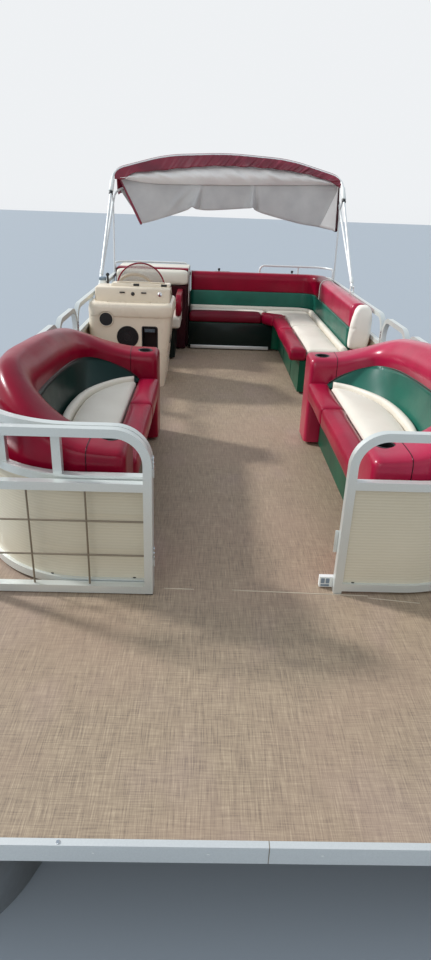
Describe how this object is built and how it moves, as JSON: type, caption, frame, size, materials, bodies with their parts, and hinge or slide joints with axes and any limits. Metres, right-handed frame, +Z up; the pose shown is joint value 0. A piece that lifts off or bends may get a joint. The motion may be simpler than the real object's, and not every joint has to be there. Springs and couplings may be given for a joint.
{
  "type": "pontoon boat",
  "caption": "Open pontoon boat: twin tubes under a flat fenced deck with padded lounges, helm console, gates, folded sun top and tilting outboard.",
  "frame": {"origin": "under the middle of the overall box, at the bottom of the keels", "axes": "+X to port, +Y aft, +Z up; seen from the bow, port is on the right"},
  "size_m": [2.54, 8.2364, 2.7308],
  "materials": {
    "tube_aluminium": "mill aluminium, lightly weathered",
    "frame_aluminium": "dull mill aluminium",
    "deck_vinyl": "tan woven vinyl deck covering",
    "deck_trim": "anodised edge extrusion",
    "rail_white": "satin white square rail",
    "fence_panel": "cream coated fence sheet with fine ribs",
    "burgundy_vinyl": "smooth raspberry red marine vinyl",
    "cream_vinyl": "cream marine vinyl",
    "green_vinyl": "teal green marine vinyl",
    "green_plinth": "teal green vinyl over a plinth",
    "console_shell": "beige gelcoat",
    "smoked_screen": "smoked acrylic",
    "black_plastic": "black moulded plastic",
    "wheel_beige": "beige soft rim",
    "bow_tube": "white finished round tube",
    "top_fabric": "burgundy acrylic canvas, pale underside",
    "catch_white": "white nylon",
    "motor_paint": "gloss charcoal enamel",
    "motor_metal": "dark cast alloy, painted",
    "propeller_metal": "worn alloy"
  },
  "bodies": {
    "boat": {"aft_lounge_back_panel": "green_vinyl", "aft_lounge_base": "green_plinth", "aft_lounge_bolster": "burgundy_vinyl", "aft_lounge_end_cap": "cream_vinyl", "aft_lounge_seat": "cream_vinyl", "console_body": "console_shell", "console_cubby": "black_plastic", "console_speaker": "black_plastic", "console_top": "console_shell", "cross_members": "frame_aluminium", "deck": "deck_vinyl", "deck_trim": "deck_trim", "fence_aft_port": "rail_white", "fence_aft_starboard": "rail_white", "fence_front_port": "rail_white", "fence_front_starboard": "rail_white", "fence_panels": "fence_panel", "gate_catches": "catch_white", "helm_arm": "burgundy_vinyl", "helm_back": "cream_vinyl", "helm_base": "green_plinth", "helm_roll": "cream_vinyl", "helm_seat": "cream_vinyl", "lounge_back_panel_port": "green_vinyl", "lounge_back_panel_starboard": "green_vinyl", "lounge_base_port": "green_plinth", "lounge_base_starboard": "green_plinth", "lounge_bolster_port": "burgundy_vinyl", "lounge_bolster_starboard": "burgundy_vinyl", "lounge_seat_port": "cream_vinyl", "lounge_seat_starboard": "cream_vinyl", "motor_pod": "tube_aluminium", "pontoon_port": "tube_aluminium", "pontoon_starboard": "tube_aluminium", "steering_column": "black_plastic", "stern_rails": "bow_tube", "throttle": "black_plastic", "top_mounts": "catch_white", "transom_bracket": "motor_metal", "tube_risers": "frame_aluminium", "windscreen": "smoked_screen"},
    "swivel": {"swivel_bracket": "motor_metal"},
    "outboard": {"drive_leg": "motor_paint", "engine_cowl": "motor_paint", "lower_unit": "motor_paint"},
    "propeller": {"propeller": "propeller_metal"},
    "wheel": {"steering_wheel": "wheel_beige"},
    "front_gate": {"gate_front": "rail_white"},
    "port_gate": {"gate_port": "rail_white"},
    "starboard_gate": {"gate_starboard": "rail_white"},
    "sun_top": {"top_bows": "bow_tube", "top_braces": "bow_tube", "top_cloth": "top_fabric"}
  },
  "joints": [
    {"name": "outboard_tilt", "type": "hinge", "parent": "boat", "child": "swivel", "pos_m": [0, 3.1818, 0.885], "axis": [1, 0, 0], "range_deg": [-62, 0]},
    {"name": "outboard_steer", "type": "hinge", "parent": "swivel", "child": "outboard", "pos_m": [0, 3.21842, 0.95387], "axis": [0, -0.8829, 0.4695], "range_deg": [-30, 30]},
    {"name": "prop_spin", "type": "hinge", "parent": "outboard", "child": "propeller", "pos_m": [0, 3.98823, 0.82543], "axis": [0, 0.4695, 0.8829], "continuous": true},
    {"name": "wheel_turn", "type": "hinge", "parent": "boat", "child": "wheel", "pos_m": [-0.84, 0.6868, 1.495], "axis": [0, -0.8829, -0.4695], "range_deg": [-540, 540]},
    {"name": "front_gate_swing", "type": "hinge", "parent": "boat", "child": "front_gate", "pos_m": [-0.383, -2.9187, 0.76], "axis": [0, 0, 1], "range_deg": [0, 180]},
    {"name": "port_gate_swing", "type": "hinge", "parent": "boat", "child": "port_gate", "pos_m": [1.1845, -0.2802, 0.76], "axis": [0, 0, 1], "range_deg": [-90, 0]},
    {"name": "starboard_gate_swing", "type": "hinge", "parent": "boat", "child": "starboard_gate", "pos_m": [-1.1845, -0.2802, 0.76], "axis": [0, 0, 1], "range_deg": [0, 90]},
    {"name": "sun_top_fold", "type": "hinge", "parent": "boat", "child": "sun_top", "pos_m": [0, 0.9518, 1.55], "axis": [1, 0, 0], "range_deg": [0, 60]}
  ],
  "couplings": [
    {"joint": "wheel_turn", "follows": "outboard_steer", "ratio": 18}
  ]
}
